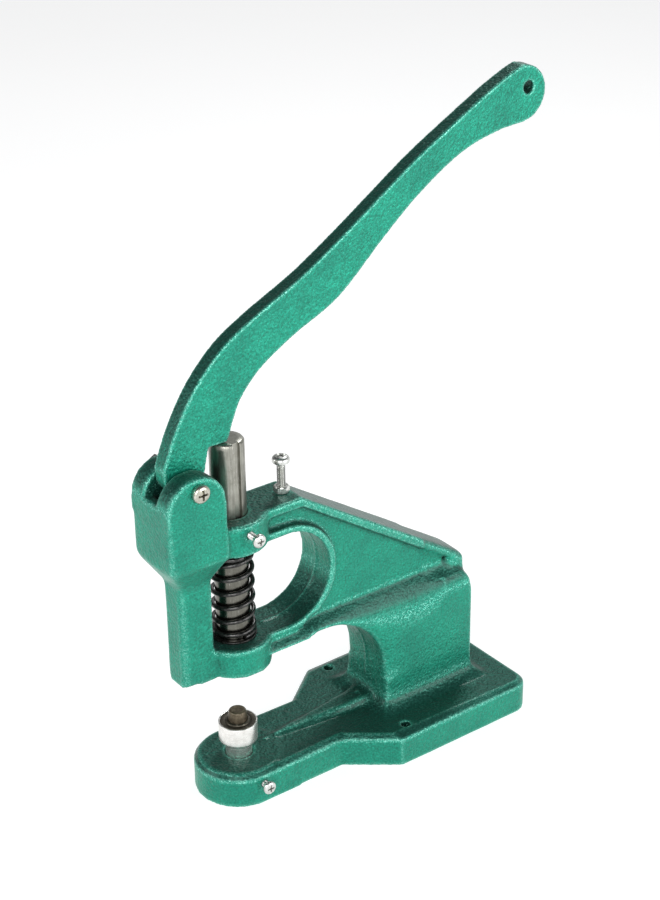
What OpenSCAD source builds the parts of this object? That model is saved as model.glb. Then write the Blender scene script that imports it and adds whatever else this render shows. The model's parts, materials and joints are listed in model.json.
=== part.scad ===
// Bench-top snap setting press: a cast C-frame, a round spring-returned ram,
// a curved hand lever on a cross pin and a small lower die with a sprung pilot.
// Millimetres. +X is the press's right-hand side, +Y is towards the rear, +Z is up.
// The origin is on the bench, on the vertical axis of the ram.

/* [Base plate] */
// Overall length of the base plate
base_length = 210; // [202:1:225]
// Width of the rear pad
pad_width = 94.6; // [90:0.2:104]
// Thickness of the base plate
base_thickness = 21; // [19:0.5:22]
// Radius of the rounded nose, about the ram axis
nose_radius = 26.5; // [25.5:0.5:28]
// Height of the bevel round the top edge
base_bevel = 3; // [1:0.1:3.5]
// Distance between the two bench bolt holes
bench_hole_spacing = 76; // [70:1:78]
// Diameter of the bench bolt holes
bench_hole_d = 5.5; // [4.5:0.1:6.5]

/* [Frame] */
// Distance from the ram axis back to the upright's front face
throat_depth = 93; // [90:1:95]
// Radius of the round throat under the lower arm
throat_radius = 42; // [38:1:44]
// Width of the solid upright and of the lower arm
upright_width = 40; // [38:0.5:42]
// Thickness of the recessed web above the upright
web_thickness = 20; // [18:0.5:22]
// Width of the deck flange along the top
deck_width = 27.5; // [26:0.5:32]
// Height of the flat deck above the bench
deck_height = 179.6; // [178:0.1:181]
// Radius of the window behind the ram
window_radius = 29.5; // [28:0.5:30]
// Outside radius of the two ram bosses
boss_radius = 21; // [19:0.5:22]

/* [Ram] */
// Diameter of the ram
ram_d = 19.6; // [19:0.1:19.8]
// Height of the ram's top above the bench, at rest
ram_top = 223.5; // [222:0.1:224]
// Diameter of the spring wire
spring_wire_d = 2.7; // [2.2:0.1:2.8]
// Number of open coils in the return spring
spring_open_coils = 5; // [4:0.5:6]

/* [Lever] */
// Overall length of the hand lever
lever_length = 310; // [300:1:325]
// Thickness of the lever
lever_thickness = 10; // [9:0.1:10.5]
// Width of the clevis slot
slot_width = 12; // [11.6:0.1:13]
// Diameter of the pivot screw's shank
pivot_d = 6; // [5:0.1:6.5]

/* [Lower die] */
// Outside diameter of the die cup
die_d = 22.6; // [22:0.1:24]
// Diameter of the die's shank, which sits in the base
die_shank_d = 15.5; // [15:0.1:16]
// Diameter of the sprung pilot pin
pilot_d = 11; // [10:0.1:12]

/* [Hidden] */

$fn = 64;
hull_fn = 32;       // facets on round parts inside a hull
overlap = 1;        // how far joined volumes run into each other
slip = 0.05;        // radial clearance of a running or screwed fit

// base plate
neck_half_width = 25.2;
flare_start = 55;
flare_end = 83.4;
neck_end = flare_start + 4 * base_bevel;    // the neck's slab runs on past its own rear bevel
pad_corner_radius = 10;
pad_rear = base_length - nose_radius;
bench_hole_y = 93;
die_pad_radius = 24;
die_pad_height = 0.6;
rib_start = 25;
rib_tip = 3;
rib_half_width = 8;
rib_tip_height = 1.4;
rib_height = 5.5;

// upright and arms
half_width = upright_width / 2;
foot_fillet = 10;
shoulder_width = 10;
shoulder_drop = 15;
shoulder_z = 97.5;
upright_rear = 159;
rear_shoulder_radius = 12;
rear_shoulder_z = 84;
arm_underside = 90.7;
throat_centre = [throat_depth - throat_radius, arm_underside - throat_radius];
lower_boss_bottom = 84;
lower_arm_top = 101.5;
upper_arm_bottom = 160.5;
window_centre = [28, (lower_arm_top + upper_arm_bottom) / 2];
rim_thickness = 4.5;
rim_half_width = 14.5;
deck_break = 40;
deck_slope = 0.656;
deck_thickness = 6;
rear_bar_start = 142;
rear_bar_half_width = 12.5;

// column and clevis
column_front = -39.5;
column_rear = -19;
column_half_width = 9.5;
clevis_front = -50;
clevis_rear = -13;
clevis_half_width = 19;
clevis_shoulder_z = 163;
column_top_z = 147;
ear_centre = [(clevis_front + clevis_rear) / 2, 198.5];
ear_radius = (clevis_rear - clevis_front) / 2;
pivot = [-30, 208];
slot_pocket_radius = 15.5;
slot_lip_z = 201.5;

// ram and return spring
ram_r = ram_d / 2;
ram_bottom = 86;
ram_chamfer = 1;
ram_thread_r = 3.4;
ram_thread_depth = 18;
keyway_width = 4.4;
keyway_depth = 1.6;
keyway_bottom = 166;
collar_outer_r = 12.7;
collar_bottom = 156.4;
collar_top = 160.2;
collar_pin_r = 1.5;
seat_height = 1.2;
spring_outer_r = 12.75;
spring_mean_r = spring_outer_r - spring_wire_d / 2;
seat_outer_r = 13;
seat_gap = 0.3;
spring_bottom = lower_arm_top + seat_height;

// lever, in its own plane: x runs from the pivot hole towards the free end, y is the side away from the ram
tooth_centre = [31.6, -1.6];
tooth_r = 1.6;
tooth_gap = 0.1;
lever_angle = asin((ram_top + tooth_gap + tooth_r - pivot[1]) / norm(tooth_centre))
    - atan2(tooth_centre[1], tooth_centre[0]);
nose_centre = [3.7, 4.2];
lever_nose_r = 12.8;
end_radius = 16;
end_centre = [lever_length - end_radius + nose_centre[0] - lever_nose_r, -0.5];
end_hole = end_centre + [4.5, 0.5];
end_hole_r = 3.5;
drawn_arm_length = 253.3;   // from the tooth to end_centre, in the lever that the curve's points describe

// screws: head diameter, head height
pivot_head = [10.5, 3.6];
stop_head = [10, 3.8];
small_head = [8, 2.6];
small_screw_r = 1.95;
pivot_washer_height = 1;
pivot_washer_r = 6;
pivot_nut_height = 5;
pivot_nut_flats = 10;
thread_end = 1;             // how far the pivot screw shows past its nut
guide_z = 173;
guide_head_x = 27.4;
die_screw_z = 12.5;
die_screw_head_x = 29.4;
stop_y = 35;
stop_screw_r = 2.45;
stop_head_bottom = 198.2;
stop_screw_length = 24;
stop_hole_bottom = 161.5;
locknut_height = 4;
locknut_flats = 8;

// lower die
die_r = die_d / 2;
die_shank_r = die_shank_d / 2;
die_bottom = 6;
cup_bottom = 28;
cup_top = 42.6;
pilot_top = 50;
pilot_flange_z = 36.6;
pilot_flange_r = 8.1;
pilot_flange_height = 3;
pilot_stem_r = 3;
pilot_stem_length = 4;
pilot_spring_floor = 22;
pilot_spring_mean_r = 4.6;
pilot_spring_wire_r = 0.5;
pilot_spring_coils = 4;
pilot_pocket_r = 6;
cup_wall = 1;
cup_floor = cup_bottom + 3;
face_seat = pilot_flange_z + pilot_flange_height + 0.2;

// Points on an arc about c, from angle a0 to angle a1
function arc(c, r, a0, a1, steps = 12) =
    [for (i = [0:steps]) c + r * [cos(a0 + (a1 - a0) * i / steps), sin(a0 + (a1 - a0) * i / steps)]];

// A smooth curve from p1 to p2, shaped by the neighbours p0 and p3
function blend_point(p0, p1, p2, p3, t) =
    0.5 * (2 * p1 + (p2 - p0) * t + (2 * p0 - 5 * p1 + 4 * p2 - p3) * t * t
        + (3 * p1 - p0 - 3 * p2 + p3) * t * t * t);

// A smooth curve through all points but the first and the last, which only steer its ends
function smooth_curve(pts, steps = 6) =
    [for (i = [1:len(pts) - 3]) for (j = [0:steps - 1])
        blend_point(pts[i - 1], pts[i], pts[i + 1], pts[i + 2], j / steps)];

// Height of the deck at distance y behind the ram axis
function deck_z(y) = deck_height - deck_slope * max(0, y - deck_break);

// Stands a side view (x towards the rear, y up) upright, centred on the plane of symmetry
module side_solid(half) {
    rotate([90, 0, 90])
        translate([0, 0, -half])
            linear_extrude(2 * half)
                children();
}

// Runs a front view (x to the right, y up) from y0 back to y1
module front_solid(y0, y1) {
    translate([0, y1, 0])
        rotate([90, 0, 0])
            linear_extrude(y1 - y0)
                children();
}

// A convex slab with its top edge bevelled
module bevelled_slab() {
    hull() {
        linear_extrude(base_thickness - base_bevel) children();
        linear_extrude(base_thickness) offset(delta = -base_bevel) children();
    }
}

module base_plate() {
    pad_half = pad_width / 2;
    corner_x = pad_half - pad_corner_radius;
    bevelled_slab() {
        circle(nose_radius, $fn = 2 * hull_fn);
        translate([-neck_half_width, 0]) square([2 * neck_half_width, neck_end]);
    }
    bevelled_slab() {
        polygon([
            [-neck_half_width, flare_start], [neck_half_width, flare_start],
            [pad_half, flare_end], [-pad_half, flare_end]
        ]);
        for (side = [-1, 1])
            translate([side * corner_x, pad_rear - pad_corner_radius])
                circle(pad_corner_radius, $fn = hull_fn);
    }
    cylinder(h = base_thickness + die_pad_height, r = die_pad_radius);
}

// Low wedge-shaped rib along the top of the neck
module base_rib() {
    hull() {
        translate([-rib_tip / 2, rib_start, base_thickness - overlap])
            cube([rib_tip, rib_tip, overlap + rib_tip_height]);
        translate([-rib_half_width, throat_depth - overlap, base_thickness - overlap])
            cube([2 * rib_half_width, overlap, rib_height + overlap]);
    }
}

// Front view of the upright: flared feet and broad elliptical shoulders
module upright_section() {
    foot = arc([half_width + foot_fillet, base_thickness + foot_fillet], foot_fillet, -90, -180);
    shoulder = [for (turn = arc([0, 0], 1, 0, 90, 16))
        [half_width - shoulder_width * (1 - turn[0]), shoulder_z - shoulder_drop * (1 - turn[1])]];
    underside = base_thickness - overlap;
    for (side = [0, 1])
        mirror([side, 0])
            polygon(concat([[0, underside], [half_width + foot_fillet, underside]],
                foot, shoulder, [[0, shoulder_z]]));
}

// Side view of the upright and the lower arm round the throat
module upright_side() {
    front_foot = arc([throat_depth - foot_fillet, base_thickness + foot_fillet], foot_fillet, 0, -90);
    rear_foot = arc([upright_rear + foot_fillet, base_thickness + foot_fillet], foot_fillet, -90, -180);
    rear_shoulder = arc([upright_rear - rear_shoulder_radius, rear_shoulder_z],
        rear_shoulder_radius, 0, 75);
    polygon(concat(
        [[0, shoulder_z], [0, arm_underside]],
        arc(throat_centre, throat_radius, 90, 0, 24),
        front_foot,
        [[throat_depth - foot_fillet, base_thickness - overlap]],
        [[upright_rear + foot_fillet, base_thickness - overlap]],
        rear_foot,
        rear_shoulder,
        [[rear_bar_start, shoulder_z]]
    ));
}

module upright() {
    intersection() {
        side_solid(half_width + foot_fillet) upright_side();
        front_solid(0, upright_rear + foot_fillet) upright_section();
    }
}

// Round window with a slot forward to the column, grown by a margin
module window_outline(margin) {
    translate(window_centre) circle(window_radius + margin);
    translate([column_rear, lower_arm_top - margin])
        square([window_centre[0] - column_rear, upper_arm_bottom - lower_arm_top + 2 * margin]);
}

module web() {
    side_solid(web_thickness / 2)
        difference() {
            polygon([
                [0, arm_underside], [rear_bar_start + overlap, arm_underside],
                [rear_bar_start + overlap, deck_z(rear_bar_start + overlap) - overlap],
                [deck_break, deck_height - overlap], [0, deck_height - overlap]
            ]);
            window_outline(0);
        }
}

module window_rim() {
    side_solid(rim_half_width)
        intersection() {
            difference() {
                window_outline(rim_thickness);
                window_outline(0);
            }
            translate([0, arm_underside]) square([deck_break + window_radius, deck_height - arm_underside]);
        }
}

// Flange along the flat deck and down the sloping back
module deck_flange() {
    slope_drop = deck_thickness * norm([1, deck_slope]);
    side_solid(deck_width / 2)
        polygon([
            [0, deck_height], [deck_break, deck_height], [upright_rear, deck_z(upright_rear)],
            [upright_rear, deck_z(upright_rear) - slope_drop],
            [deck_break, deck_height - deck_thickness], [0, deck_height - deck_thickness]
        ]);
}

// Upright bar under the rear end of the flange
module rear_bar() {
    bottom = arm_underside - foot_fillet;
    side_solid(rear_bar_half_width)
        translate([rear_bar_start, bottom])
            square([upright_rear - overlap - rear_bar_start, deck_z(upright_rear) - bottom]);
}

module ram_bosses() {
    translate([0, 0, lower_boss_bottom]) cylinder(h = lower_arm_top - lower_boss_bottom, r = boss_radius);
    translate([0, 0, upper_arm_bottom]) cylinder(h = deck_height - upper_arm_bottom, r = boss_radius);
}

// Front column, and the foot that ties it to the lower boss
module column() {
    depth = column_rear - column_front;
    translate([-column_half_width, column_front, lower_boss_bottom - overlap])
        cube([2 * column_half_width, depth, column_top_z - lower_boss_bottom + 2 * overlap]);
    translate([-column_half_width, column_front, lower_boss_bottom])
        cube([2 * column_half_width, -column_front, lower_arm_top - lower_boss_bottom]);
}

module clevis() {
    depth = clevis_rear - clevis_front;
    hull() {
        translate([-clevis_half_width, clevis_front, clevis_shoulder_z])
            cube([2 * clevis_half_width, depth, overlap]);
        translate([-column_half_width, column_front, column_top_z])
            cube([2 * column_half_width, column_rear - column_front, overlap]);
    }
    translate([-clevis_half_width, clevis_front, clevis_shoulder_z])
        cube([2 * clevis_half_width, depth, ear_centre[1] - clevis_shoulder_z]);
    side_solid(clevis_half_width) translate(ear_centre) circle(ear_radius);
}

// Slot between the ears: a round pocket under the pivot, open at the front, top and rear
module lever_slot() {
    side_solid(slot_width / 2) {
        translate(pivot) circle(slot_pocket_radius);
        translate([clevis_front - overlap, slot_lip_z])
            square([clevis_rear - clevis_front + 2 * overlap, 2 * ear_radius]);
        translate([pivot[0], ear_centre[1]])
            square([clevis_rear + overlap - pivot[0], ear_radius]);
    }
}

// A round hole along X at (y, z), from x0 to x1
module cross_hole(y, z, x0, x1, r) {
    translate([x0, y, z]) rotate([0, 90, 0]) cylinder(h = x1 - x0, r = r);
}

module frame_casting() {
    color("mediumseagreen")
        difference() {
            union() {
                base_plate();
                base_rib();
                upright();
                web();
                window_rim();
                deck_flange();
                rear_bar();
                ram_bosses();
                column();
                clevis();
            }
            lever_slot();
            translate([0, 0, lower_boss_bottom - overlap])
                cylinder(h = deck_height - lower_boss_bottom + 2 * overlap, r = ram_r + slip);
            cross_hole(pivot[0], pivot[1], -clevis_half_width - overlap, clevis_half_width + overlap,
                pivot_d / 2 + slip);
            cross_hole(0, guide_z, 0, boss_radius + overlap, small_screw_r + slip);
            cross_hole(0, die_screw_z, 0, nose_radius + overlap, small_screw_r + slip);
            translate([0, stop_y, stop_hole_bottom])
                cylinder(h = deck_height, r = stop_screw_r + slip);
            translate([0, 0, die_bottom])
                cylinder(h = base_thickness, r = die_shank_r + slip);
            for (side = [-1, 1])
                translate([side * bench_hole_spacing / 2, bench_hole_y, -overlap])
                    cylinder(h = base_thickness + 2 * overlap, r = bench_hole_d / 2);
        }
}

// Outline of the lever: round nose, notch and tooth for the ram, then an S-curved arm with a round end
module lever_outline() {
    stretch = (end_centre[0] - tooth_centre[0]) / drawn_arm_length;
    function along(x) = tooth_centre[0] + (x - tooth_centre[0]) * stretch;
    nose = arc(nose_centre, lever_nose_r, 140, 318, 28);
    notch_corner = [22.4, 3.6];
    tooth = arc(tooth_centre, tooth_r, -128, -60, 6);
    under = smooth_curve([
        tooth[6], [34.5, -2], [along(43), 3.8], [along(54), 9.4], [along(72), 12.4], [along(98), 9.8],
        [along(130), 4], [along(168), 7.2], [along(200), 8.7], [along(234), 5.4], [along(260), -4.4],
        end_centre + [-8, -14.2], end_centre + [0, -16]
    ]);
    round_end = arc(end_centre, end_radius, -115, 50, 28);
    top = smooth_curve([
        end_centre + [14, 8], end_centre + [9.5, 13.4], [along(276), 17.8], [along(250), 21.8],
        [along(212), 26.5], [along(184), 28.1], [along(150), 29.9], [along(120), 32.6], [along(90), 38.1],
        [along(66), 41], [along(45), 38.6], [28, 33.4], [12, 25.8], nose[0] + [3, 4], nose[0], nose[1]
    ]);
    polygon(concat(nose, [notch_corner], tooth, under, round_end, top));
}

module hand_lever() {
    color("mediumseagreen")
        side_solid(lever_thickness / 2)
            translate(pivot)
                rotate(lever_angle)
                    difference() {
                        lever_outline();
                        circle(pivot_d / 2 + slip);
                        translate(end_hole) circle(end_hole_r);
                    }
}

// Pan head screw along -Z, with its head standing on z = 0 and a cross recess
module pan_screw(r, head, length) {
    recess_depth = head[1] * 0.6;
    dome = head[1] * 0.45;
    difference() {
        union() {
            translate([0, 0, -length]) cylinder(h = length + overlap / 2, r = r);
            cylinder(h = head[1] - dome, d = head[0]);
            translate([0, 0, head[1] - dome]) cylinder(h = dome, d1 = head[0], d2 = head[0] * 0.72);
        }
        for (turn = [0, 90])
            rotate(turn)
                translate([-head[0] * 0.29, -head[0] * 0.06, head[1] - recess_depth])
                    cube([head[0] * 0.58, head[0] * 0.12, recess_depth + overlap]);
    }
}

// Hexagon nut with chamfered corners, standing on z = 0
module hex_nut(flats, height, bore_r) {
    corners = flats / cos(30);
    difference() {
        intersection() {
            cylinder(h = height, d = corners, $fn = 6);
            union() {
                cylinder(h = height / 2, d1 = flats * 0.98, d2 = flats * 0.98 + height);
                translate([0, 0, height / 2])
                    cylinder(h = height / 2, d1 = flats * 0.98 + height, d2 = flats * 0.98);
            }
        }
        translate([0, 0, -overlap]) cylinder(h = height + 2 * overlap, r = bore_r);
    }
}

module washer(inner_r, outer_r, height) {
    difference() {
        cylinder(h = height, r = outer_r);
        translate([0, 0, -overlap]) cylinder(h = height + 2 * overlap, r = inner_r);
    }
}

// Turns +Z towards +X and moves the part to the pivot or screw place
module along_x(x, y, z) {
    translate([x, y, z]) rotate([0, 90, 0]) children();
}

module pivot_screw() {
    length = 2 * clevis_half_width + pivot_washer_height + pivot_nut_height + thread_end;
    color("gainsboro")
        along_x(clevis_half_width, pivot[0], pivot[1]) pan_screw(pivot_d / 2, pivot_head, length);
}

module pivot_washer() {
    color("gainsboro")
        along_x(-clevis_half_width - pivot_washer_height, pivot[0], pivot[1])
            washer(pivot_d / 2 + slip, pivot_washer_r, pivot_washer_height);
}

module pivot_nut() {
    color("gainsboro")
        along_x(-clevis_half_width - pivot_washer_height - pivot_nut_height, pivot[0], pivot[1])
            hex_nut(pivot_nut_flats, pivot_nut_height, pivot_d / 2 + slip);
}

module ram() {
    color("silver")
        difference() {
            union() {
                translate([0, 0, ram_bottom]) cylinder(h = ram_top - ram_chamfer - ram_bottom, r = ram_r);
                translate([0, 0, ram_top - ram_chamfer])
                    cylinder(h = ram_chamfer, r1 = ram_r, r2 = ram_r - ram_chamfer);
            }
            translate([ram_r - keyway_depth, -keyway_width / 2, keyway_bottom])
                cube([keyway_depth + overlap, keyway_width, ram_top]);
            translate([0, 0, ram_bottom - overlap])
                cylinder(h = ram_thread_depth + overlap, r = ram_thread_r);
            translate([0, 0, (collar_bottom + collar_top) / 2])
                rotate([90, 0, 0])
                    cylinder(h = 4 * ram_r, r = collar_pin_r + slip, center = true);
        }
}

module spring_collar() {
    color("dimgray")
        difference() {
            translate([0, 0, collar_bottom])
                washer(ram_r + slip, collar_outer_r, collar_top - collar_bottom);
            translate([0, 0, (collar_bottom + collar_top) / 2])
                rotate([90, 0, 0])
                    cylinder(h = 4 * ram_r, r = collar_pin_r + slip, center = true);
        }
}

module collar_pin() {
    color("darkgray")
        translate([0, 0, (collar_bottom + collar_top) / 2])
            rotate([90, 0, 0])
                cylinder(h = 2 * collar_outer_r - 1, r = collar_pin_r, center = true);
}

// Round-wire compression spring, standing on z = 0, with one closed coil at each end
module coil_spring(mean_r, wire_r, open_coils, height) {
    steps = 20;
    sides = 6;
    closed_pitch = 2 * wire_r + 0.15;
    turns = open_coils + 2;
    open_pitch = (height - 2 * wire_r - 2 * closed_pitch) / open_coils;
    count = turns * steps;
    function rise(t) = wire_r + closed_pitch * min(t, 1)
        + open_pitch * max(0, min(t - 1, open_coils)) + closed_pitch * max(0, t - open_coils - 1);
    points = [for (i = [0:count]) for (k = [0:sides - 1])
        let (a = 360 * i / steps, b = 360 * k / sides, r = mean_r + wire_r * cos(b))
        [r * cos(a), r * sin(a), rise(i / steps) + wire_r * sin(b)]];
    walls = [for (i = [0:count - 1]) for (k = [0:sides - 1])
        let (n = (k + 1) % sides)
        [i * sides + k, i * sides + n, (i + 1) * sides + n, (i + 1) * sides + k]];
    first_cap = [for (k = [0:sides - 1]) sides - 1 - k];
    last_cap = [for (k = [0:sides - 1]) count * sides + k];
    polyhedron(points, concat(walls, [first_cap, last_cap]), convexity = 10);
}

module return_spring() {
    color("dimgray")
        translate([0, 0, spring_bottom])
            coil_spring(spring_mean_r, spring_wire_d / 2, spring_open_coils, collar_bottom - spring_bottom);
}

module spring_seat() {
    color("dimgray")
        translate([0, 0, lower_arm_top]) washer(ram_r + seat_gap, seat_outer_r, seat_height);
}

// Side screw whose plain tip runs in the ram's keyway
module guide_screw() {
    tip_x = ram_r - keyway_depth + 0.3;
    tip_r = 1.6;
    thread_start = ram_r + 1;
    color("gainsboro") {
        along_x(guide_head_x, 0, guide_z) pan_screw(small_screw_r, small_head, guide_head_x - thread_start);
        along_x(tip_x, 0, guide_z) cylinder(h = thread_start + overlap - tip_x, r = tip_r);
    }
}

module die_set_screw() {
    color("gainsboro")
        along_x(die_screw_head_x, 0, die_screw_z)
            pan_screw(small_screw_r, small_head, die_screw_head_x - die_shank_r - slip);
}

module stop_screw() {
    color("gainsboro")
        translate([0, stop_y, stop_head_bottom]) pan_screw(stop_screw_r, stop_head, stop_screw_length);
}

module stop_locknut() {
    color("gainsboro")
        translate([0, stop_y, deck_height]) hex_nut(locknut_flats, locknut_height, stop_screw_r + slip);
}

// Turned cup with a shank: it holds the face ring, the pilot and its spring
module die_cup() {
    color("whitesmoke")
        difference() {
            rotate_extrude()
                polygon([
                    [0, die_bottom], [die_shank_r, die_bottom], [die_shank_r, cup_bottom],
                    [die_r - 2, cup_bottom + 0.6], [die_r, cup_floor], [die_r, cup_top - 0.3],
                    [die_r - 0.3, cup_top], [0, cup_top]
                ]);
            translate([0, 0, pilot_spring_floor]) cylinder(h = cup_top, r = pilot_pocket_r);
            translate([0, 0, cup_floor]) cylinder(h = cup_top, r = pilot_flange_r + slip);
            translate([0, 0, face_seat]) cylinder(h = cup_top, r = die_r - cup_wall + slip);
        }
}

// Dark ring that closes the cup, with a raised lip round the pilot
module die_face_ring() {
    inner = pilot_d / 2 + slip;
    outer = die_r - cup_wall;
    lip = 1.5;
    color("#3a342e")
        rotate_extrude()
            polygon([
                [inner, face_seat], [outer, face_seat], [outer, cup_top + 0.1],
                [inner + lip + 0.6, cup_top + 0.1], [inner + lip, cup_top + 0.7],
                [inner + 0.4, cup_top + 0.9], [inner, cup_top + 0.4]
            ]);
}

// Sprung centre pin with a flange that the face ring holds down
module pilot_pin() {
    r = pilot_d / 2;
    stem_bottom = pilot_flange_z - pilot_stem_length;
    flange_top = pilot_flange_z + pilot_flange_height;
    color("#6b5a48")
        rotate_extrude()
            polygon([
                [0, stem_bottom], [pilot_stem_r, stem_bottom], [pilot_stem_r, pilot_flange_z],
                [pilot_flange_r, pilot_flange_z], [pilot_flange_r, flange_top], [r, flange_top],
                [r, pilot_top - 0.8], [r - 0.8, pilot_top], [0, pilot_top]
            ]);
}

module pilot_spring() {
    color("dimgray")
        translate([0, 0, pilot_spring_floor])
            coil_spring(pilot_spring_mean_r, pilot_spring_wire_r, pilot_spring_coils,
                pilot_flange_z - pilot_spring_floor);
}

frame_casting();
hand_lever();
pivot_screw();
pivot_washer();
pivot_nut();
ram();
spring_collar();
collar_pin();
return_spring();
spring_seat();
guide_screw();
stop_screw();
stop_locknut();
die_cup();
die_face_ring();
pilot_pin();
pilot_spring();
die_set_screw();
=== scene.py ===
import json
import math

import bmesh
import bpy
from mathutils import Matrix, Vector, noise


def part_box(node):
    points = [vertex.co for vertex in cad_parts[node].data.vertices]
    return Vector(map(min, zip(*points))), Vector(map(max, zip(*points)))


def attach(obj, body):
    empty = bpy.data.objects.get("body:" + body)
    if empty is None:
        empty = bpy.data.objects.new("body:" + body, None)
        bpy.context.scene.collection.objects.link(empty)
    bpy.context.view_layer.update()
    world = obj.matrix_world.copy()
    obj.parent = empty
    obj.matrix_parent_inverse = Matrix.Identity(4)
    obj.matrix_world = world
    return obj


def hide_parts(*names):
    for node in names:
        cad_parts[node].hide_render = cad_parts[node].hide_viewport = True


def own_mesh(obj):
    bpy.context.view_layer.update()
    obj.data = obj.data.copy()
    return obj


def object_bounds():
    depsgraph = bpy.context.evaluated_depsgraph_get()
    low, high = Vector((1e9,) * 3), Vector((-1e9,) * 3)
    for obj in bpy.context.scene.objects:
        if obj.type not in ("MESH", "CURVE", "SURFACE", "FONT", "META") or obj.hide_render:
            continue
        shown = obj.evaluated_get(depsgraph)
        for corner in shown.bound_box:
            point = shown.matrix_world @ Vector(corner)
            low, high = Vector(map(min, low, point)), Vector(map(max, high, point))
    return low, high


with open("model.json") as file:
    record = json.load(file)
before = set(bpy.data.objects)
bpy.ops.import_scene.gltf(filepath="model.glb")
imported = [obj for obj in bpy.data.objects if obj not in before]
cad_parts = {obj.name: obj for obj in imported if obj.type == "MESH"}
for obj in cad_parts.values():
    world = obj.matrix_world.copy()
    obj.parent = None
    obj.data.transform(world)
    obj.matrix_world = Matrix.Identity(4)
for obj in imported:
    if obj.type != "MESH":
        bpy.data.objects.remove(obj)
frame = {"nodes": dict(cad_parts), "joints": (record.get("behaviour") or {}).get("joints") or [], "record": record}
cad_low, cad_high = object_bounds()

MM = 0.001
UP = Vector((0, 0, 1))
RIGHT = Vector((1, 0, 0))
BACK = Vector((0, 1, 0))
ROUND = 96          # segments round a turned part
JOINTS = {joint["name"]: joint for joint in frame["joints"]}


# ---------------------------------------------------------------- materials

class Graph:
    """A material's node graph, built with short calls. Texture places are in the row frame, in metres."""

    def __init__(self, name):
        self.material = bpy.data.materials.new(name)
        self.material.use_nodes = True
        self.tree = self.material.node_tree
        self.tree.nodes.clear()
        self.surface = self.add("ShaderNodeBsdfPrincipled")
        output = self.add("ShaderNodeOutputMaterial")
        self.tree.links.new(self.surface.outputs[0], output.inputs["Surface"])
        self.place = self.add("ShaderNodeTexCoord").outputs["Object"]
        self.geometry = self.add("ShaderNodeNewGeometry")

    def add(self, kind, **settings):
        node = self.tree.nodes.new(kind)
        for key, value in settings.items():
            setattr(node, key, value)
        return node

    def put(self, socket, value):
        if isinstance(value, bpy.types.NodeSocket):
            self.tree.links.new(value, socket)
        elif isinstance(value, (tuple, list)) and len(value) == 3 and socket.type == "RGBA":
            socket.default_value = (*value, 1)
        else:
            socket.default_value = value

    def set(self, **values):
        """Sets inputs of the surface shader: base_color=..., roughness=..."""
        for key, value in values.items():
            self.put(self.surface.inputs[key.replace("_", " ").title().replace("Ior", "IOR")], value)

    def stretched(self, stretch):
        node = self.add("ShaderNodeMapping")
        self.put(node.inputs["Vector"], self.place)
        node.inputs["Scale"].default_value = stretch
        return node.outputs[0]

    def noise(self, size, detail=2.0, roughness=0.5, stretch=None):
        """Cloudy noise, about size metres from one blob to the next."""
        node = self.add("ShaderNodeTexNoise")
        self.put(node.inputs["Vector"], self.stretched(stretch) if stretch else self.place)
        node.inputs["Scale"].default_value = 1 / size
        node.inputs["Detail"].default_value = detail
        node.inputs["Roughness"].default_value = roughness
        return node.outputs["Fac"]

    def cells(self, size):
        """Distance to the nearest of scattered points, about size metres apart, with soft borders."""
        node = self.add("ShaderNodeTexVoronoi", feature="SMOOTH_F1")
        self.put(node.inputs["Vector"], self.place)
        node.inputs["Scale"].default_value = 1 / size
        return node.outputs["Distance"]

    def speckle(self, size):
        """One random grey for each cell, about size metres across."""
        node = self.add("ShaderNodeTexVoronoi")
        self.put(node.inputs["Vector"], self.place)
        node.inputs["Scale"].default_value = 1 / size
        split = self.add("ShaderNodeSeparateColor")
        self.put(split.inputs[0], node.outputs["Color"])
        return split.outputs[0]

    def ramp(self, value, *stops):
        """Maps a value to grey or colour stops: (place, grey or colour), ..."""
        node = self.add("ShaderNodeValToRGB")
        self.put(node.inputs[0], value)
        elements = node.color_ramp.elements
        while len(elements) < len(stops):
            elements.new(0.5)
        for element, (place, colour) in zip(elements, stops):
            element.position = place
            element.color = (*colour, 1) if isinstance(colour, tuple) else (colour, colour, colour, 1)
        return node.outputs[0]

    def mix(self, share, a, b, blend="MIX"):
        node = self.add("ShaderNodeMix", data_type="RGBA", blend_type=blend)
        self.put(node.inputs["Factor"], share)
        self.put(node.inputs[6], a)
        self.put(node.inputs[7], b)
        return node.outputs[2]

    def calc(self, operation, a, b):
        node = self.add("ShaderNodeMath", operation=operation)
        self.put(node.inputs[0], a)
        self.put(node.inputs[1], b)
        return node.outputs[0]

    def bump(self, height, distance, strength=1.0):
        """Adds relief of the given height in metres to the surface; calls stack."""
        node = self.add("ShaderNodeBump")
        self.put(node.inputs["Height"], height)
        node.inputs["Distance"].default_value = distance
        node.inputs["Strength"].default_value = strength
        normal = self.surface.inputs["Normal"]
        if normal.links:
            self.put(node.inputs["Normal"], normal.links[0].from_socket)
        self.put(normal, node.outputs[0])

    def shelter(self, reach):
        """1 in the open and less where the same piece's other surfaces stand closer than reach."""
        node = self.add("ShaderNodeAmbientOcclusion", samples=6, only_local=True)
        node.inputs["Distance"].default_value = reach
        return node.outputs["AO"]

    def upward_share(self, vector):
        split = self.add("ShaderNodeSeparateXYZ")
        self.put(split.inputs[0], vector)
        return split.outputs["Z"]

    def facing_up(self):
        return self.upward_share(self.geometry.outputs["Normal"])

    def height(self):
        return self.upward_share(self.place)


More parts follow.
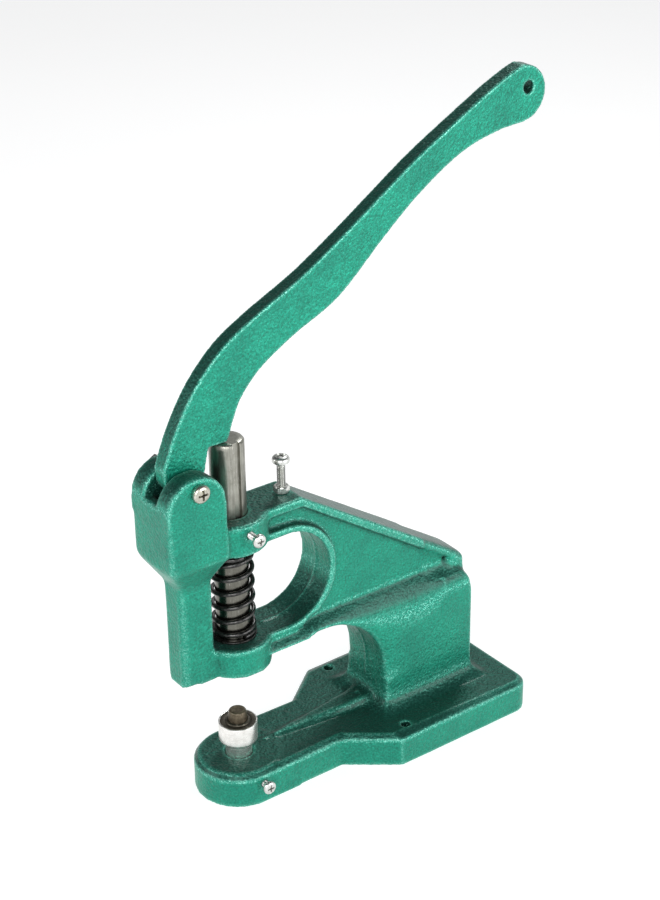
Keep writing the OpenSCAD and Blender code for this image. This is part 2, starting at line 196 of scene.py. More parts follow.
def enamel():
    """Green metallic hammertone enamel on rough cast iron; its colour holds painted shade in creases, recesses and
    on upward faces, a painted sheen, and painted edge highlights and glints.
    """
    g = Graph("green_enamel")
    grain = g.noise(1.1 * MM, 3, 0.65)
    paint = g.ramp(grain, (0.30, (0.003, 0.142, 0.090)), (0.50, (0.006, 0.245, 0.158)),
                   (0.70, (0.016, 0.350, 0.238)))
    flecks = g.speckle(0.5 * MM)
    paint = g.mix(g.ramp(flecks, (0.84, 0.0), (0.98, 0.28)), paint, (0.05, 0.44, 0.32))
    blotches = g.noise(26 * MM, 3, 0.6)
    paint = g.mix(g.ramp(blotches, (0.38, 0.0), (0.72, 0.45)), paint, (0.003, 0.110, 0.080))
    # painted shade: darker paint in concave creases and fillets, where shade falls
    hollow = g.ramp(g.geometry.outputs["Pointiness"], (0.44, 0.75), (0.494, 0.0))
    paint = g.mix(hollow, paint, (0.002, 0.045, 0.032))
    # painted sheen: a bright speckled band on faces that lean slightly upward, where the lamps glance off them
    painted_sheen_band = g.ramp(g.facing_up(), (0.03, 0.0), (0.16, 0.85), (0.34, 0.0))
    painted_sheen_colour = g.ramp(flecks, (0.45, (0.008, 0.190, 0.130)), (0.80, (0.050, 0.420, 0.310)),
                    (0.97, (0.300, 0.800, 0.660)))
    paint = g.mix(painted_sheen_band, paint, painted_sheen_colour)
    # painted shade: upward faces get darker paint, as little light falls on them from above
    upward = g.ramp(g.facing_up(), (0.18, 0.0), (0.46, 0.92))
    dull = g.ramp(grain, (0.3, (0.004, 0.042, 0.030)), (0.7, (0.018, 0.112, 0.084)))
    paint = g.mix(upward, paint, dull)
    # painted highlight: convex edges and bevels get bright speckled paint; sharp cut edges are left out
    edge = g.ramp(g.geometry.outputs["Pointiness"], (0.504, 0.0), (0.526, 0.70), (0.56, 0.70), (0.62, 0.0))
    worn_and_highlit = g.mix(g.ramp(flecks, (0.55, 0.0), (0.95, 1.0)), (0.030, 0.300, 0.215), (0.260, 0.720, 0.580))
    paint = g.mix(edge, paint, worn_and_highlit)
    # painted shade: darker paint in recesses the piece's own surfaces shelter, less on upward faces
    painted_recess_shade = g.calc("MULTIPLY", g.ramp(g.shelter(70 * MM), (0.50, 0.95), (0.80, 0.0)),
                  g.ramp(g.facing_up(), (0.50, 1.0), (0.90, 0.45)))
    paint = g.mix(painted_recess_shade, paint, g.ramp(grain, (0.3, (0.002, 0.022, 0.016)), (0.7, (0.010, 0.075, 0.055))))
    # painted glints: bright specks scattered through the painted recess shade
    painted_recess_glints = g.calc("MULTIPLY", g.ramp(g.speckle(0.7 * MM), (0.86, 0.0), (0.97, 0.8)), painted_recess_shade)
    paint = g.mix(painted_recess_glints, paint, (0.160, 0.520, 0.410))
    g.set(base_color=paint, metallic=0.60, roughness=g.ramp(grain, (0.2, 0.36), (0.8, 0.54)),
          specular_ior_level=0.35, coat_weight=0.14, coat_roughness=0.16, sheen_weight=0.06,
          sheen_roughness=0.35)
    g.bump(g.cells(1.5 * MM), 0.40 * MM)
    g.bump(g.noise(0.7 * MM, 2), 0.16 * MM)
    g.bump(g.noise(5 * MM, 3), 0.70 * MM)
    return g.material


def zinc(name, dull, bright):
    """Zinc plating, with clouds, darker in the hollows."""
    g = Graph(name)
    clouds = g.noise(2.4 * MM, 3, 0.6)
    metal = g.ramp(clouds, (0.3, dull), (0.7, bright))
    hollow = g.ramp(g.geometry.outputs["Pointiness"], (0.42, 0.8), (0.495, 0.0))
    g.set(base_color=g.mix(hollow, metal, (0.10, 0.09, 0.07)), metallic=0.95,
          roughness=g.ramp(clouds, (0.3, 0.34), (0.7, 0.24)))
    g.bump(g.noise(0.8 * MM, 2), 0.012 * MM)
    return g.material


def ground_steel():
    """Ground bar: fine streaks along its length, clouds and scratches, and dark oil where the spring is."""
    g = Graph("ground_steel")
    streaks = g.noise(0.5 * MM, 4, 0.6, (1, 1, 0.03))
    clouds = g.noise(9 * MM, 4, 0.65)
    metal = g.ramp(streaks, (0.30, (0.23, 0.228, 0.200)), (0.70, (0.42, 0.418, 0.37)))
    metal = g.mix(g.ramp(clouds, (0.42, 0.0), (0.70, 0.55)), metal, (0.15, 0.148, 0.125))
    oily = g.ramp(g.calc("MULTIPLY", g.height(), 4), (0.60, 0.62), (0.67, 0.0))
    metal = g.mix(oily, metal, (0.055, 0.052, 0.042))
    scratches = g.ramp(g.noise(0.35 * MM, 2, 0.5, (1, 1, 0.12)), (0.66, 0.0), (0.72, 0.5))
    dull = g.ramp(clouds, (0.3, 0.26), (0.75, 0.48))
    g.set(base_color=g.mix(scratches, metal, (0.60, 0.60, 0.58)), metallic=1.0,
          roughness=g.mix(oily, dull, (0.16, 0.16, 0.16)))
    g.bump(streaks, 0.012 * MM)
    g.bump(clouds, 0.05 * MM)
    return g.material


def black_steel():
    """Oiled black spring steel with a thin worn shine."""
    g = Graph("black_steel")
    wear = g.noise(1.8 * MM, 4, 0.7)
    oil = g.ramp(wear, (0.40, (0.008, 0.008, 0.008)), (0.80, (0.075, 0.072, 0.068)))
    g.set(base_color=oil, metallic=0.75, roughness=g.ramp(wear, (0.3, 0.24), (0.8, 0.42)),
          coat_weight=0.5, coat_roughness=0.12)
    g.bump(wear, 0.03 * MM)
    return g.material


def nickel():
    """Satin nickel plating on a turned part, with fine rings."""
    g = Graph("nickel_plate")
    rings = g.noise(0.35 * MM, 2, 0.5, (0.02, 0.02, 1))
    clouds = g.noise(5 * MM, 3, 0.6)
    metal = g.ramp(clouds, (0.35, (0.70, 0.685, 0.655)), (0.70, (0.90, 0.885, 0.86)))
    g.set(base_color=metal, metallic=0.9, roughness=g.ramp(rings, (0.3, 0.24), (0.7, 0.36)))
    g.bump(rings, 0.012 * MM)
    return g.material


def oxide(name, dark, light, worn_and_highlit):
    """Heat or chemical oxide on steel: mottled, with bare metal on the edges."""
    g = Graph(name)
    mottle = g.noise(1.5 * MM, 4, 0.7)
    skin = g.ramp(mottle, (0.35, dark), (0.70, light))
    edge = g.ramp(g.geometry.outputs["Pointiness"], (0.51, 0.0), (0.60, 0.8))
    g.set(base_color=g.mix(edge, skin, worn_and_highlit), metallic=0.7,
          roughness=g.ramp(mottle, (0.3, 0.34), (0.8, 0.55)))
    g.bump(mottle, 0.05 * MM)
    return g.material


def floor_paint():
    g = Graph("studio_floor")
    g.set(base_color=g.ramp(g.noise(0.4, 2), (0.3, 0.50), (0.7, 0.52)), roughness=0.85,
          emission_color=(1.0, 1.0, 1.0), emission_strength=0.72)
    return g.material


ENAMEL = enamel()
ZINC = zinc("zinc_plate", (0.50, 0.51, 0.48), (0.76, 0.77, 0.75))
WORN_ZINC = zinc("worn_zinc", (0.34, 0.33, 0.27), (0.60, 0.59, 0.52))
STEEL = ground_steel()
BLACK = black_steel()
NICKEL = nickel()
FACE_OXIDE = oxide("black_oxide", (0.030, 0.026, 0.019), (0.085, 0.075, 0.055), (0.26, 0.24, 0.19))
PILOT_OXIDE = oxide("brown_oxide", (0.060, 0.048, 0.030), (0.150, 0.122, 0.080), (0.36, 0.32, 0.24))


# ---------------------------------------------------------------- mesh tools

def body_of_node(node):
    return next(body for body, nodes in frame["record"]["behaviour"]["bodies"].items() if node in nodes)


def middle_of(node):
    low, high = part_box(node)
    return (low + high) / 2


def mesh_object(name, points, faces):
    mesh = bpy.data.meshes.new(name)
    mesh.from_pydata([tuple(p) for p in points], [], faces)
    work = bmesh.new()
    work.from_mesh(mesh)
    bmesh.ops.recalc_face_normals(work, faces=work.faces)
    work.to_mesh(mesh)
    work.free()
    obj = bpy.data.objects.new(name, mesh)
    bpy.context.scene.collection.objects.link(obj)
    return obj


def smooth(obj, angle=38):
    obj.data.shade_smooth()
    obj.data.set_sharp_from_angle(angle=math.radians(angle))


def stand_for(obj, node, material, angle=38):
    """The piece takes a CAD node's place: its body and its finish."""
    smooth(obj, angle)
    obj.data.materials.clear()
    obj.data.materials.append(material)
    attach(obj, body_of_node(node))
    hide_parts(node)


def bake(obj):
    """Applies the object's modifiers to its mesh."""
    graph = bpy.context.evaluated_depsgraph_get()
    made = bpy.data.meshes.new_from_object(obj.evaluated_get(graph))
    obj.modifiers.clear()
    obj.data = made


def cut(obj, tool):
    """Takes the tool's volume away from obj, then deletes the tool."""
    step = obj.modifiers.new("cut", "BOOLEAN")
    step.operation = "DIFFERENCE"
    step.solver = "EXACT"
    step.object = tool
    bake(obj)
    bpy.data.objects.remove(tool)


def placed(obj, axis, origin):
    """Turns a part built along +Z to run along axis, and moves its zero to origin."""
    turn = UP.rotation_difference(Vector(axis)).to_matrix().to_4x4()
    obj.data.transform(Matrix.Translation(origin) @ turn)
    return obj


def rounded(profile, radius, steps=3):
    """A profile of (r, z) points with each corner between two straight stretches rounded."""
    out = [profile[0]]
    for before, corner, after in zip(profile, profile[1:], profile[2:]):
        c = Vector(corner)
        back, ahead = Vector(before) - c, Vector(after) - c
        reach = min(radius, back.length * 0.45, ahead.length * 0.45)
        start, end = c + back.normalized() * reach, c + ahead.normalized() * reach
        for i in range(steps + 1):
            t = i / steps
            out.append(tuple(start * (1 - t) ** 2 + c * 2 * t * (1 - t) + end * t * t))
    out.append(profile[-1])
    return out


def turned(name, profile, shape=None, ring=False, segments=ROUND):
    """A part turned about Z from a profile of (r, z) points. shape(angle, r, z) may change a point's radius.
    A ring profile is closed on itself; any other starts and ends on the axis."""
    points, rows, faces = [], [], []
    for r, z in profile:
        if r < 1e-7:
            rows.append([len(points)])
            points.append((0, 0, z))
            continue
        rows.append(list(range(len(points), len(points) + segments)))
        for i in range(segments):
            a = math.tau * i / segments
            radius = shape(a, r, z) if shape else r
            points.append((radius * math.cos(a), radius * math.sin(a), z))
    pairs = list(zip(rows, rows[1:])) + ([(rows[-1], rows[0])] if ring else [])
    for low, high in pairs:
        for i in range(segments):
            j = (i + 1) % segments
            if len(low) == 1:
                faces.append((low[0], high[i], high[j]))
            elif len(high) == 1:
                faces.append((low[i], low[j], high[0]))
            else:
                faces.append((low[i], low[j], high[j], high[i]))
    return mesh_object(name, points, faces)


def thread_wave(turn):
    """Depth of a screw thread's flank, 0 at the crest and 1 at the root."""
    return min(1.0, max(0.0, abs((turn % 1) * 2 - 1) * 1.3 - 0.15))


def rod_rows(r, z0, z1, pitch, thread_end):
    """Profile rows up a threaded rod's side, close together where the thread is cut."""
    rows_a_turn = 8
    rows = [(r, z0)]
    count = max(2, math.ceil((thread_end - z0) / pitch * rows_a_turn))
    rows += [(r, z0 + (thread_end - z0) * i / count) for i in range(1, count + 1)]
    if z1 - thread_end > 1e-6:
        rows.append((r, z1))
    return rows


def cross_cutter(half_width, arm, depth):
    """A tapered cross that cuts a screwdriver recess down from z = 0."""
    corners = []
    for quarter in range(4):
        turn = Matrix.Rotation(math.tau * quarter / 4, 3, "Z")
        corners.append(turn @ Vector((half_width, half_width, 0)))
        corners += [turn @ Vector((half_width, arm, 0)), turn @ Vector((-half_width, arm, 0))]
    count = len(corners)
    top = [c + UP * 0.3 * MM for c in corners]
    foot = [c * 0.55 - UP * depth for c in corners]
    sides = [(i, (i + 1) % count, count + (i + 1) % count, count + i) for i in range(count)]
    return mesh_object("cross", top + foot, sides + [tuple(range(count)), tuple(range(count, 2 * count))])


def pan_screw(node, axis, shank_r, head_h, pitch, plain_tip=None, material=ZINC):
    """A pan head screw with a cut thread and a cross recess, in the CAD screw's box."""
    low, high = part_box(node)
    axis = Vector(axis)
    length = abs((high - low).dot(axis))
    head_r = abs((high - low).dot(BACK)) / 2
    centre = (low + high) / 2
    top = centre + axis * length / 2
    under = -head_h
    root = 0.62 * pitch
    tip_z = -length
    thread_start = tip_z + 0.5 * MM
    rows = [(0, tip_z), (shank_r - root, tip_z)]
    if plain_tip:
        tip_r, tip_length = plain_tip
        thread_start = tip_z + tip_length
        rows = [(0, tip_z), (tip_r - 0.2 * MM, tip_z), (tip_r, tip_z + 0.2 * MM), (tip_r, thread_start)]
    rows += rod_rows(shank_r, thread_start, under, pitch, under - 0.4 * MM)
    slopes = [math.radians(a) for a in range(0, 90, 9)]
    dome = [(head_r * math.cos(a) ** 0.55, under + head_h * (0.42 + 0.58 * math.sin(a))) for a in slopes]
    rows += [(head_r * 0.97, under), (head_r, under + 0.12 * head_h)] + dome + [(0, 0)]

    def threaded(angle, r, z):
        if abs(r - shank_r) > 1e-9:
            return r
        fade = min(1.0, max(0.0, (under - 0.35 * MM - z) / (0.5 * MM)))
        return r - root * fade * thread_wave(z / pitch - angle / math.tau)

    screw = turned(node + "_cut", rows, threaded, segments=64)
    cut(screw, cross_cutter(0.14 * head_r, 0.62 * head_r, 0.62 * head_h))
    placed(screw, axis, top)
    stand_for(screw, node, material)


def hex_limit(flats):
    """A shape function that keeps a turned part inside a hexagon."""
    def shape(angle, r, z):
        from_flat = angle % (math.pi / 3) - math.pi / 6
        return min(r, flats / 2 / math.cos(from_flat))
    return shape


def hex_nut(node, axis, flats, bore_r, pitch):
    """A hexagon nut with chamfered corners and a threaded bore."""
    low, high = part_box(node)
    axis = Vector(axis)
    height = abs((high - low).dot(axis))
    corner = flats / 2 / math.cos(math.pi / 6)
    chamfer, lead_in, thread_rows = 0.5 * MM, 0.35 * MM, 24
    thread_top, thread_length = height - 0.3 * MM, height - 0.6 * MM
    rows = [(flats * 0.47, 0), (corner * 0.985, chamfer), (corner, chamfer * 1.5),
            (corner, height - chamfer * 1.5), (corner * 0.985, height - chamfer), (flats * 0.47, height),
            (bore_r + lead_in, height)]
    rows += [(bore_r, thread_top - thread_length * i / thread_rows) for i in range(thread_rows + 1)]
    rows.append((bore_r + lead_in, 0))
    limit = hex_limit(flats)

    def shape(angle, r, z):
        if abs(r - bore_r) < 1e-9:
            return r + 0.25 * pitch * thread_wave(z / pitch - angle / math.tau)
        return limit(angle, r, z)

    centre = (low + high) / 2
    nut = turned(node + "_cut", rows, shape, ring=True, segments=96)
    placed(nut, axis, centre - axis * height / 2)
    stand_for(nut, node, ZINC, 25)


def flat_ring(node, axis, inner_r, material, edge=0.3 * MM):
    """A washer or collar with rounded edges, in the CAD ring's box."""
    low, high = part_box(node)
    axis = Vector(axis)
    height = abs((high - low).dot(axis))
    outer_r = abs((high - low).dot(BACK)) / 2
    corners = [(inner_r, height / 2), (inner_r, height), (outer_r, height), (outer_r, 0), (inner_r, 0),
               (inner_r, height / 2)]
    ring = turned(node + "_turned", rounded(corners, edge)[1:], ring=True)
    placed(ring, axis, (low + high) / 2 - axis * height / 2)
    stand_for(ring, node, material)


def coil(node, wire_r, open_coils, steps=40, sides=14):
    """A round-wire spring with closed ends, wound to fill the CAD spring's box."""
    low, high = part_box(node)
    height = high.z - low.z
    mean_r = (high.x - low.x) / 2 - wire_r
    closed = 2 * wire_r + 0.12 * MM
    turns = open_coils + 2
    pitch = (height - 2 * wire_r - 2 * closed) / open_coils
    points, faces = [], []
    count = int(turns * steps)
    for i in range(count + 1):
        t = i / steps
        z = low.z + wire_r + closed * min(t, 1) + closed * max(0, t - open_coils - 1)
        z += pitch * max(0, min(t - 1, open_coils))
        a = math.tau * t
        for k in range(sides):
            b = math.tau * k / sides
            r = mean_r + wire_r * math.cos(b)
            points.append((r * math.cos(a), r * math.sin(a), z + wire_r * math.sin(b)))
    for i in range(count):
        for k in range(sides):
            n = (k + 1) % sides
            faces.append((i * sides + k, i * sides + n, (i + 1) * sides + n, (i + 1) * sides + k))
    faces.append(tuple(range(sides)))
    faces.append(tuple(count * sides + k for k in range(sides)))
    spring = mesh_object(node + "_wire", points, faces)
    stand_for(spring, node, BLACK)
    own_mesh(spring)


# ---------------------------------------------------------------- castings

RAM_CLEARANCE = 0.06 * MM
PIVOT_HOLE_R = 3.06 * MM
STOP_HOLE_R = 2.51 * MM
DIE_HOLE_R = 7.81 * MM
SIDE_HOLE_R = 2.01 * MM     # for the guide screw and the die set screw


def rough_casting(node, voxel, passes):
    """A copy of a CAD casting with every edge rounded, as sand casting leaves it."""
    obj = bpy.data.objects.new(node + "_cast", frame["nodes"][node].data.copy())
    bpy.context.scene.collection.objects.link(obj)
    weld = obj.modifiers.new("weld", "WELD")
    weld.merge_threshold = 0.01 * MM
    remesh = obj.modifiers.new("remesh", "REMESH")
    remesh.mode = "VOXEL"
    remesh.voxel_size = voxel
    step = obj.modifiers.new("soften", "SMOOTH")
    step.factor = 0.5
    step.iterations = passes
    bake(obj)
    return obj


def soften(obj, passes, weight):
    """Smooths the mesh again where weight(x, y, z), in millimetres, is above 0, for broader rounds there."""
    group = obj.vertex_groups.new(name="soft")
    for v in obj.data.vertices:
        w = weight(*(v.co / MM))
        if w > 0:
            group.add([v.index], min(w, 1), "REPLACE")
    step = obj.modifiers.new("soften", "SMOOTH")
    step.factor = 0.5
    step.iterations = passes
    step.vertex_group = group.name
    bake(obj)
    obj.vertex_groups.clear()


def sink(obj, depth, size, seed):
    """Presses a gentle wave into the surface, never outwards, so the casting stays in its box."""
    shift = Vector((seed, seed * 1.7, seed * 0.3))
    normals = [v.normal.copy() for v in obj.data.vertices]
    for v, normal in zip(obj.data.vertices, normals):
        wave = noise.noise(v.co / size + shift)
        v.co -= normal * depth * (0.5 + 0.5 * wave)


def parting_line(obj, centre, r, height=0.6, half_width=1.5):
    """Raises the mould's joint line round the inside of an opening at centre (y, z), all in millimetres."""
    normals = [v.normal.copy() for v in obj.data.vertices]
    for v, normal in zip(obj.data.vertices, normals):
        x, y, z = v.co / MM
        from_wall = abs((Vector((y, z)) - centre).length - r)
        if abs(x) < half_width and from_wall < 1.5 and y > 5:
            v.co += normal * height * (1 - abs(x) / half_width) * MM


def drill(name, r, start, end):
    """A cylinder to cut a clean hole with, from start to end."""
    start, end = Vector(start), Vector(end)
    length = (end - start).length
    tool = turned(name, [(0, 0), (r, 0), (r, length), (0, length)], segments=72)
    return placed(tool, (end - start).normalized(), start)


def drill_frame(casting):
    """The frame's machined holes, cut clean after the casting is softened."""
    ram_low, ram_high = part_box("ram")
    ram_r = (ram_high.x - ram_low.x) / 2 + RAM_CLEARANCE
    below_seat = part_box("spring_seat")[0].z - 30 * MM
    cut(casting, drill("ram_hole", ram_r, (0, 0, below_seat), (0, 0, ram_high.z)))
    pivot = middle_of("pivot_screw")
    outside = 30 * MM
    cut(casting, drill("pivot_hole", PIVOT_HOLE_R, (-outside, pivot.y, pivot.z), (outside, pivot.y, pivot.z)))
    stop_low, stop_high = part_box("stop_screw")
    y = middle_of("stop_screw").y
    cut(casting, drill("stop_hole", STOP_HOLE_R, (0, y, stop_low.z - 12 * MM), (0, y, stop_high.z)))
    die_low, die_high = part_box("die_cup")
    cut(casting, drill("die_hole", DIE_HOLE_R, (0, 0, die_low.z), (0, 0, die_high.z)))
    for node in ("guide_screw", "die_set_screw"):
        at = middle_of(node)
        cut(casting, drill(node + "_hole", SIDE_HOLE_R, (0, at.y, at.z), (40 * MM, at.y, at.z)))
    holes = next(m for m in frame["record"]["mounts"] if m["name"] == "bench_holes")
    hole_r = holes["dims"]["hole_r_mm"] * MM
    for side in (-1, 1):
        at = Vector(holes["pos_m"]) + RIGHT * side * holes["dims"]["spacing_x_mm"] / 2 * MM
        cut(casting, drill("bench_hole", hole_r, at - UP * 5 * MM, at + UP * 40 * MM))


def frame_piece():
    """The frame casting. Its softened regions are given in millimetres of the row frame."""
    window, window_r = Vector((28, 131)), 29.5
    throat, throat_r = Vector((51, 48.7)), 42

    def shoulder(x, y, z):
        """The broad rounds of the upright's sides, fading out at the throat's crisp edge."""
        inside = abs(x) > 11.5 and 44 < y < 138 and 42 < z < 100
        return ((Vector((y, z)) - throat).length - throat_r) / 8 if inside else 0

    casting = rough_casting("frame_casting", 1.0 * MM, 7)
    # upright with its foot
    soften(casting, 30, lambda x, y, z: float(40 < y and 21.5 < z < 104))
    soften(casting, 60, lambda x, y, z: float(abs(x) > 9 and 40 < y < 136 and 30 < z < 92))
    soften(casting, 1200, shoulder)
    # rib on the base
    soften(casting, 3, lambda x, y, z: float(abs(x) < 18 and 22 < y < 90 and 19 < z < 32))
    parting_line(casting, window, window_r)
    parting_line(casting, throat, throat_r)
    # clevis, then the front column
    soften(casting, 12, lambda x, y, z: float(y < -10 and 95 < z))
    soften(casting, 70, lambda x, y, z: float(y < -29 and z < 190 and abs(x) > 6))
    # meeting of web, deck and rear bar
    soften(casting, 90, lambda x, y, z: float(126 < y and 94 < z < 126))
    sink(casting, 0.25 * MM, 14 * MM, 3)
    drill_frame(casting)
    stand_for(casting, "frame_casting", ENAMEL, 50)


def lever_piece():
    lever = rough_casting("hand_lever", 0.8 * MM, 6)
    sink(lever, 0.2 * MM, 12 * MM, 8)
    pivot = Vector(JOINTS["lever_hinge"]["pos_m"])
    cut(lever, drill("lever_hole", PIVOT_HOLE_R, pivot - RIGHT * 20 * MM, pivot + RIGHT * 20 * MM))
    stand_for(lever, "hand_lever", ENAMEL, 50)


# ---------------------------------------------------------------- turned parts

def ram_piece():
    """The ram: bevelled and battered at the top, a die thread in its foot and a keyway down its side."""
    low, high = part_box("ram")
    r = (high.x - low.x) / 2
    thread = next(m for m in frame["record"]["mounts"] if m["name"] == "ram_die_thread")["dims"]
    bore, depth = thread["r_mm"] * MM, thread["length_mm"] * MM
    thread_pitch, thread_depth, thread_rows = 1.25 * MM, 0.45 * MM, 80
    foot_bevel, bevel, side_rows = 0.5 * MM, 1.1 * MM, 60
    profile = [(0, low.z + depth), (bore, low.z + depth)]
    profile += [(bore, low.z + depth * (1 - i / thread_rows)) for i in range(1, thread_rows)]
    profile += [(bore + 0.4 * MM, low.z), (r - foot_bevel, low.z), (r, low.z + foot_bevel)]
    profile += [(r, low.z + (high.z - bevel - low.z) * i / side_rows) for i in range(1, side_rows + 1)]
    profile += [(r - bevel * 0.45, high.z - bevel * 0.35), (r - bevel, high.z)]
    profile += [(r * 0.6, high.z), (0, high.z)]

    def shape(angle, radius, z):
        if radius < bore + 0.1 * MM and z < low.z + depth:
            return radius + thread_depth * thread_wave(z / thread_pitch - angle / math.tau)
        if radius < r * 0.8 or high.z - z > 4 * MM:
            return radius
        place = Vector((math.cos(angle), math.sin(angle), z * 150)) * 2.2
        dent = max(0.0, noise.noise(place) - 0.05)
        return radius - 0.35 * MM * dent

    ram = turned("ram_bar", profile, shape, segments=128)
    # the keyway, just clear of the guide screw's tip
    key_depth, key_width, key_length = 6 * MM, 4.4 * MM, 80 * MM
    key_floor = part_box("guide_screw")[0].x - 0.3 * MM
    key_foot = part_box("collar_pin")[1].z + 6.1 * MM
    bpy.ops.mesh.primitive_cube_add(size=1)
    key = bpy.context.object
    key.data.transform(Matrix.Diagonal((key_depth, key_width, key_length, 1)))
    key.data.transform(Matrix.Translation((key_floor + key_depth / 2, 0, key_foot + key_length / 2)))
    cut(ram, key)
    stand_for(ram, "ram", STEEL)


def pin_piece():
    low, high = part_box("collar_pin")
    r, length = (high.z - low.z) / 2, high.y - low.y
    corners = [(0, 0), (r, 0), (r, length), (0, length)]
    pin = turned("collar_pin_turned", rounded(corners, 0.3 * MM), segments=48)
    placed(pin, BACK, ((low.x + high.x) / 2, low.y, (low.z + high.z) / 2))
    stand_for(pin, "collar_pin", STEEL)


def die_pieces():
    low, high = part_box("die_cup")
    die_r = (high.x - low.x) / 2
    shank_r, pocket_r, inner_r, ring_r = 7.75 * MM, 6 * MM, 8.15 * MM, 10.35 * MM
    pocket_floor, neck, shoulder, step = 22 * MM, 28 * MM, 31 * MM, 39.8 * MM
    cup = [(0, low.z), (shank_r - 0.6 * MM, low.z), (shank_r, low.z + 0.6 * MM), (shank_r, neck),
           (die_r - 2 * MM, neck + 0.6 * MM), (die_r, shoulder), (die_r, high.z), (ring_r, high.z),
           (ring_r, step), (inner_r, step), (inner_r, shoulder), (pocket_r, shoulder),
           (pocket_r, pocket_floor), (0, pocket_floor)]
    stand_for(turned("die_cup_turned", rounded(cup, 0.35 * MM)), "die_cup", NICKEL)

    low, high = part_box("die_face_ring")
    outer, inner = (high.x - low.x) / 2, 5.55 * MM
    rim, lip = high.z - 0.8 * MM, 1.5 * MM
    ring = [(inner, low.z + 1 * MM), (inner, low.z), (outer, low.z), (outer, rim),
            (inner + lip + 0.9 * MM, rim), (inner + lip + 0.3 * MM, rim - 0.25 * MM),
            (inner + lip, rim + 0.45 * MM), (inner + 0.5 * MM, high.z), (inner, high.z - 0.4 * MM),
            (inner, low.z + 1 * MM)]
    stand_for(turned("die_face_turned", rounded(ring, 0.25 * MM)[1:], ring=True), "die_face_ring", FACE_OXIDE)

    low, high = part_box("pilot_pin")
    flange_r, stem_r, r = (high.x - low.x) / 2, 3 * MM, 5.5 * MM
    flange = low.z + 4 * MM
    flange_top = flange + 3 * MM
    pin = [(0, low.z), (stem_r, low.z), (stem_r, flange), (flange_r, flange), (flange_r, flange_top),
           (r, flange_top), (r, high.z - 3.2 * MM), (r - 0.35 * MM, high.z - 1.4 * MM),
           (r - 0.6 * MM, high.z - 0.6 * MM), (r - 1.6 * MM, high.z), (1.5 * MM, high.z - 0.15 * MM),
           (0, high.z - 0.15 * MM)]
    stand_for(turned("pilot_pin_turned", rounded(pin, 0.4 * MM)), "pilot_pin", PILOT_OXIDE)


frame_piece()
lever_piece()
ram_piece()
pin_piece()
die_pieces()
# M6, M5 and M4 screws
pan_screw("pivot_screw", RIGHT, shank_r=3.0 * MM, head_h=3.6 * MM, pitch=1.0 * MM, material=WORN_ZINC)
pan_screw("stop_screw", UP, shank_r=2.45 * MM, head_h=3.8 * MM, pitch=0.8 * MM)
pan_screw("guide_screw", RIGHT, shank_r=1.95 * MM, head_h=2.6 * MM, pitch=0.7 * MM,
          plain_tip=(1.6 * MM, 2.3 * MM))
pan_screw("die_set_screw", RIGHT, shank_r=1.95 * MM, head_h=2.6 * MM, pitch=0.7 * MM)
hex_nut("pivot_nut", RIGHT, flats=10 * MM, bore_r=3.05 * MM, pitch=1.0 * MM)
hex_nut("stop_locknut", UP, flats=8 * MM, bore_r=2.5 * MM, pitch=0.8 * MM)
flat_ring("pivot_washer", RIGHT, 3.05 * MM, ZINC)
flat_ring("spring_collar", UP, 9.85 * MM, BLACK, 0.6 * MM)
flat_ring("spring_seat", UP, 10.1 * MM, BLACK)
coil("return_spring", 1.35 * MM, 5)
coil("pilot_spring", 0.5 * MM, 4, steps=28, sides=10)


# ---------------------------------------------------------------- floor, light and camera

def floor():
    half = 6.0
    z = cad_low.z - 0.2 * MM
    corners = [(-half, -half, z), (half, -half, z), (half, half, z), (-half, half, z)]
    sheet = mesh_object("studio_floor", corners, [(0, 1, 2, 3)])
    sheet.data.materials.append(floor_paint())


def softbox(name, place, aim, size, power, colour=(1, 1, 1)):
    light = bpy.data.lights.new(name, "AREA")
    light.shape = "RECTANGLE"
    light.size, light.size_y = size
    light.energy = power
    light.color = colour
    obj = bpy.data.objects.new(name, light)
    obj.location = place
    obj.rotation_mode = "QUATERNION"
    obj.rotation_quaternion = (Vector(aim) - Vector(place)).to_track_quat("-Z", "Y")
    bpy.context.scene.collection.objects.link(obj)


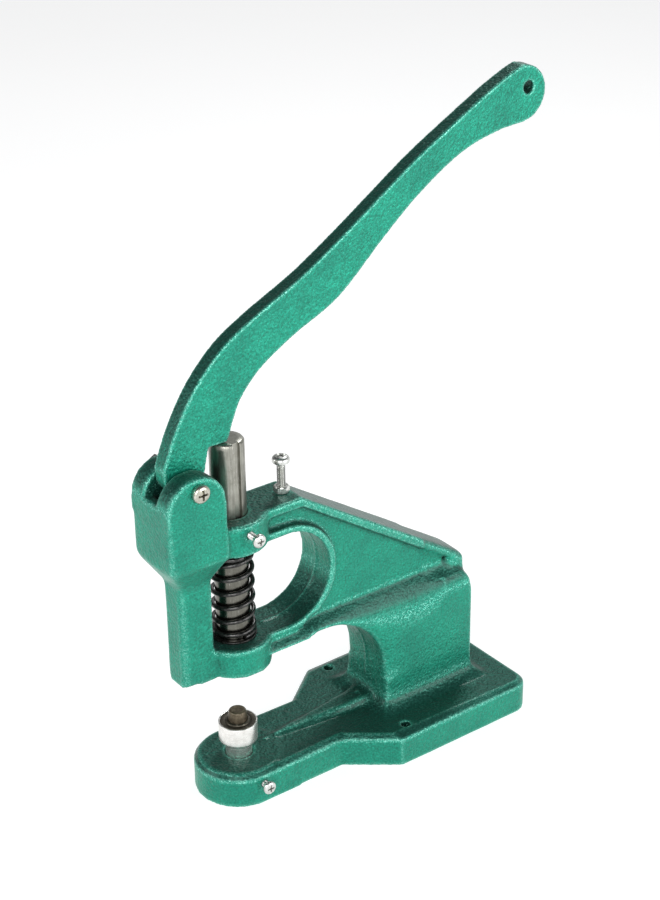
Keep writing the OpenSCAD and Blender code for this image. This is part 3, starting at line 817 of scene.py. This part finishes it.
def studio_world():
    """Bright near the horizon and dimmer overhead, like a white cove in a dark studio."""
    world = bpy.data.worlds.new("studio")
    world.use_nodes = True
    tree = world.node_tree
    background = next(n for n in tree.nodes if n.type == "BACKGROUND")
    place = tree.nodes.new("ShaderNodeTexCoord")
    split = tree.nodes.new("ShaderNodeSeparateXYZ")
    ramp = tree.nodes.new("ShaderNodeValToRGB")
    stops = ramp.color_ramp.elements
    stops[0].position, stops[0].color = 0.10, (1.0, 1.0, 1.0, 1)
    stops[1].position, stops[1].color = 0.70, (0.10, 0.11, 0.12, 1)
    tree.links.new(place.outputs["Generated"], split.inputs[0])
    tree.links.new(split.outputs["Z"], ramp.inputs[0])
    tree.links.new(ramp.outputs[0], background.inputs["Color"])
    sideways = tree.nodes.new("ShaderNodeVectorMath")
    sideways.operation = "DOT_PRODUCT"
    sideways.inputs[1].default_value = (0.63, 0.78, 0)
    tree.links.new(place.outputs["Generated"], sideways.inputs[0])
    strength = tree.nodes.new("ShaderNodeMapRange")
    strength.inputs["From Min"].default_value = -0.8
    strength.inputs["From Max"].default_value = 0.5
    strength.inputs["To Min"].default_value = 0.25
    strength.inputs["To Max"].default_value = 0.95
    tree.links.new(sideways.outputs["Value"], strength.inputs["Value"])
    tree.links.new(strength.outputs[0], background.inputs["Strength"])
    bpy.context.scene.world = world


CAMERA_PLACE = (0.7855, -0.5111, 0.6926)
CAMERA_YAW = 53.57          # degrees round from looking along +Y
CAMERA_DOWN = 27.03
CAMERA_ROLL = -0.86
CAMERA_LENS = 78.68


def camera():
    """The photo's camera place and lens, tilted up to take in the raised lever."""
    data = bpy.data.cameras.new("camera")
    data.lens = CAMERA_LENS
    data.sensor_width = 36
    data.clip_start, data.clip_end = 0.05, 50
    obj = bpy.data.objects.new("camera", data)
    bpy.context.scene.collection.objects.link(obj)
    turn = Matrix.Rotation(math.radians(CAMERA_YAW), 4, "Z")
    turn @= Matrix.Rotation(math.radians(90 - CAMERA_DOWN), 4, "X")
    turn @= Matrix.Rotation(math.radians(CAMERA_ROLL), 4, "Z")
    obj.matrix_world = Matrix.Translation(CAMERA_PLACE) @ turn
    bpy.context.scene.camera = obj


floor()
studio_world()
MIDDLE = (cad_low + cad_high) / 2
softbox("key", (1.1, -0.9, 0.75), MIDDLE, (1.0, 0.8), 16)
softbox("side", (1.2, 0.6, 0.45), MIDDLE, (0.9, 0.6), 9)
softbox("front", (-0.5, -1.3, 0.6), MIDDLE, (0.9, 0.7), 8)
softbox("rim", (-0.6, 0.9, 1.3), MIDDLE, (0.4, 0.3), 7)
camera()
bpy.context.scene.view_settings.view_transform = "Standard"
